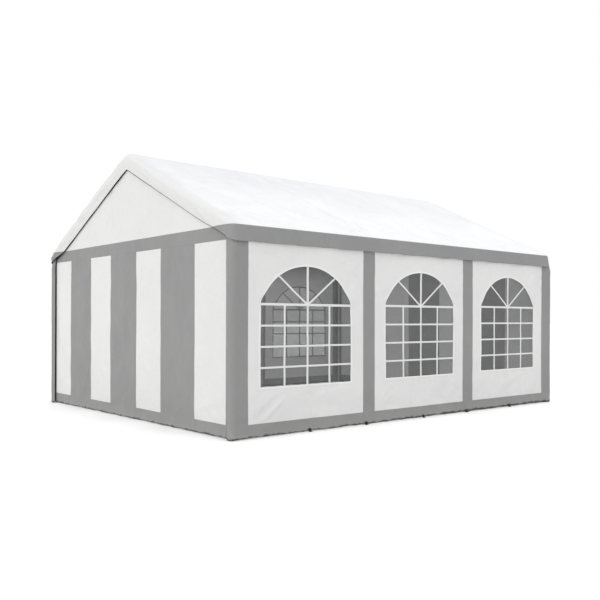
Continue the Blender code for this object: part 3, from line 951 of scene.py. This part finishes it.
END_EAVE = END_TOP - SLOPE * END_HALF
GABLE_ROWS = 32
END_CREASES = (
    ((-1.70, 2.14), (-2.20, 1.70), 0.045, 0.0080), ((-2.28, 1.95), (-1.78, 1.62), 0.050, 0.0065),
    ((-2.28, 1.30), (-1.80, 1.05), 0.055, 0.0060), ((-2.25, 0.42), (-1.70, 0.30), 0.060, 0.0080),
    ((-0.80, 2.05), (-0.35, 1.80), 0.050, 0.0065), ((-0.80, 0.50), (-0.30, 0.85), 0.060, 0.0060),
    ((0.55, 0.45), (1.05, 0.80), 0.060, 0.0065), ((0.60, 2.10), (1.00, 1.85), 0.050, 0.0060),
    ((1.85, 1.90), (2.30, 2.10), 0.045, 0.0060), ((1.90, 0.55), (2.30, 0.30), 0.050, 0.0065),
    ((-1.60, 2.52), (-0.70, 2.75), 0.060, 0.0065), ((0.40, 2.95), (1.30, 2.55), 0.060, 0.0060),
    ((-0.55, 3.05), (-0.10, 2.60), 0.055, 0.0055),
)
# The dark tape stands in for the shadow in the gaps behind the gable hems and the flap edges (painted shade)
TAPE_WIDTH = 0.050
TAPE_PROUD = 0.0022
TAPE_RISE = 0.007
TAPE_INSET = 0.038
FLAP_GAP_TAPE_WIDTH = 0.026
TAPE_THICKNESS = 0.0012


def end_relief(y, z, seed, end):
    """How far the end cloth stands out; the two ends mirror each other's folds."""
    y = -y * end
    rise = 0.0030 * ripple(y, z * 0.5, seed, 1.1) + 0.0020 * ripple(y, z, seed + 1, 0.36)
    for inward, start in ((1.0, -END_HALF), (-1.0, END_HALF)):
        base = 0.0 if inward > 0 else math.pi
        low = [base + inward * angle for angle in (0.45, 0.80, 1.10)]
        high = [base - inward * angle for angle in (0.35, 0.70, 1.05)]
        rise = rise + fan(y, z, (start, 0.05), low, (0.8, 0.7, 0.5), 0.030, 0.0040)
        rise = rise + fan(y, z, (start, 2.2), high, (0.9, 0.8, 0.6), 0.030, 0.0040)
    for start, tip, width, height in END_CREASES:
        rise = rise + crease(y, z, start, tip, width, 0.7 * height)
    rise = rise + dent(y, z, (-2.18, 0.76), (0.16, 0.26), 0.007) + dent(y, z, (-1.98, 1.78), (0.13, 0.10), 0.006)
    lower = 0.0030 * np.sin(math.tau * y / 0.62 + seed) * (1.0 - smooth(z, 0.02, 0.25))
    calm = (1.0 - 0.85 * smooth(np.abs(y), 2.15, 2.33)) * (1.0 - 0.45 * smooth(z, 2.2, 2.6))
    return np.clip((rise + lower) * calm, -0.012, 0.010) - 0.002


def end_top(y):
    """Height of the end cloth's upper edge, which stays clear of the cover."""
    corner = 0.022 * smooth(np.abs(y), 2.28, 2.41)
    return END_TOP - 0.012 - SLOPE * (np.sqrt(y ** 2 + 0.01 ** 2) - 0.01) - corner


def on_end(y, z, out, seed, end):
    """Points of the end wall at a stand-off from its cloth."""
    x = end * (END_X + end_relief(y, z, seed, end) + out)
    return np.stack(np.broadcast_arrays(x, y, z), axis=-1)


def make_end_wall(word, end, seed):
    edge = END_HALF - 0.016
    columns = np.concatenate([spaced(-edge, 0.0, END_STEP)[:-1], spaced(0.0, edge, END_STEP)])
    hem_top = HEM_Z + HEM_FOLD
    low = END_EAVE - 0.04
    rows = np.concatenate([[HEM_Z, HEM_Z + 0.010, hem_top], spaced(hem_top + 0.0015, low, END_STEP)])
    shares = np.linspace(0.0, 1.0, GABLE_ROWS + 1)[1:]
    gable = low + (end_top(columns)[:, None] - low) * shares
    z = np.concatenate([np.repeat(rows[None, :], len(columns), axis=0), gable], axis=1)
    y = np.repeat(columns[:, None], z.shape[1], axis=1)
    points = on_end(y, z, np.where(z <= hem_top, HEM_RELIEF, 0.0), seed, end)
    points[..., 2] += hem_lift(y, z, seed)
    item = mesh_piece(f"end_cloth_{word}", *gather([points]), END_CLOTH, (0.0, 0.0, 1.2))
    dress(item, (f"end_wall_{word}",))
    make_gap_shade_tape(word, end, seed)


def make_gap_shade_tape(word, end, seed):
    """Painted shade: dark tape tucked behind the gable hem and the corner flaps' edges, a dark sheet that stands in
    for the shadow in the gaps there.
    """
    across = np.linspace(0.0, 1.0, 5)
    crown = TAPE_PROUD + 0.0006 * np.sin(math.pi * across)
    y = spaced(-END_HALF + 0.10, END_HALF - 0.10, 0.03)[:, None]
    blocks = [on_end(y + 0.0 * across, gable_hem(y) + TAPE_RISE + TAPE_WIDTH * across, crown, seed, end)]
    z = spaced(HEM_Z + 0.012, FLAP_TOP - 0.02, 0.03)[:, None]
    for side in (-1.0, 1.0):
        edge = side * (FLAP_END_Y + TAPE_INSET + FLAP_GAP_TAPE_WIDTH * across)
        blocks.append(on_end(edge + 0.0 * z, z + 0.0 * across, crown, seed, end))
    item = mesh_piece(f"gap_shade_tape_{word}", *gather(blocks), WEBBING_AND_GAP_SHADE, (0.0, 0.0, 1.2))
    return dress(item, thickness=TAPE_THICKNESS)


# Frame

def finish_frame():
    for name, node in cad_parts.items():
        if "fitting" in name:
            material = FITTING_STEEL
        elif name.startswith(("leg", "rafter", "eave_tube", "ridge_tube")):
            material = TUBE_STEEL
        else:
            continue
        node.data.materials.clear()
        node.data.materials.append(material)


# Stage, light and camera

def make_stage():
    bpy.ops.mesh.primitive_plane_add(size=400.0, location=(0.0, 0.0, 0.0))
    floor = bpy.context.object
    floor.name = "floor"
    nodes = Nodes("studio_floor")
    nodes.set(Base_Color=(0.92, 0.92, 0.92), Roughness=0.9, Specular_IOR_Level=0.0)
    floor.data.materials.append(nodes.material)


def make_sun(name, travel, strength, softness, colour):
    data = bpy.data.lights.new(name, "SUN")
    data.energy = strength * math.pi
    data.angle = math.radians(softness)
    data.color = colour
    sun = bpy.data.objects.new(name, data)
    sun.rotation_euler = Vector(travel).to_track_quat("-Z", "Y").to_euler()
    bpy.context.scene.collection.objects.link(sun)


def make_sky():
    world = bpy.data.worlds.new("studio")
    bpy.context.scene.world = world
    world.use_nodes = True
    background = world.node_tree.nodes["Background"]
    background.inputs["Color"].default_value = (1.0, 1.0, 1.0, 1.0)
    background.inputs["Strength"].default_value = 1.0


def make_inside_light():
    """The daylight that comes through the cloth into the tent."""
    data = bpy.data.lights.new("inside", "AREA")
    data.shape = "RECTANGLE"
    data.size, data.size_y = 5.4, 4.2
    data.energy = INSIDE_WATTS
    light = bpy.data.objects.new("inside", data)
    light.location = (0.0, 0.0, EAVE_TOP - 0.08)
    light.visible_camera = False
    bpy.context.scene.collection.objects.link(light)


def make_camera():
    data = bpy.data.cameras.new("camera")
    data.sensor_fit = "HORIZONTAL"
    data.sensor_width = SENSOR_WIDTH
    data.lens = SENSOR_WIDTH * FOCAL_PIXELS / FRAME_PIXELS
    data.shift_y = (HORIZON_ROW - FRAME_PIXELS / 2) / FRAME_PIXELS
    data.clip_end = 500.0
    camera = bpy.data.objects.new("camera", data)
    forward = Vector((math.cos(CAMERA_HEADING), math.sin(CAMERA_HEADING), 0.0))
    plumb = Vector((0.0, 0.0, 1.0))
    up = plumb * math.cos(CAMERA_ROLL) - forward.cross(plumb) * math.sin(CAMERA_ROLL)
    turn = Matrix((forward.cross(up), up, -forward)).transposed().to_4x4()
    camera.matrix_world = Matrix.Translation(CAMERA_PLACE) @ turn
    bpy.context.scene.collection.objects.link(camera)
    bpy.context.scene.camera = camera
    bpy.context.scene.view_settings.view_transform = "Standard"
    bpy.context.scene.view_settings.look = "None"


make_camera()
make_sky()
make_sun("key", *KEY_SUN)
make_sun("top", *TOP_SUN)
make_inside_light()
make_stage()
finish_frame()
make_cover()
for word, side, look in (("front", -1.0, (21, 1.0)), ("back", 1.0, (27, -1.0))):
    make_side_wall(word, side, look)
    for number, window in enumerate(WINDOWS, start=1):
        make_film(word, number, side, window, look)
make_end_wall("left", -1.0, 33)
make_end_wall("right", 1.0, 37)
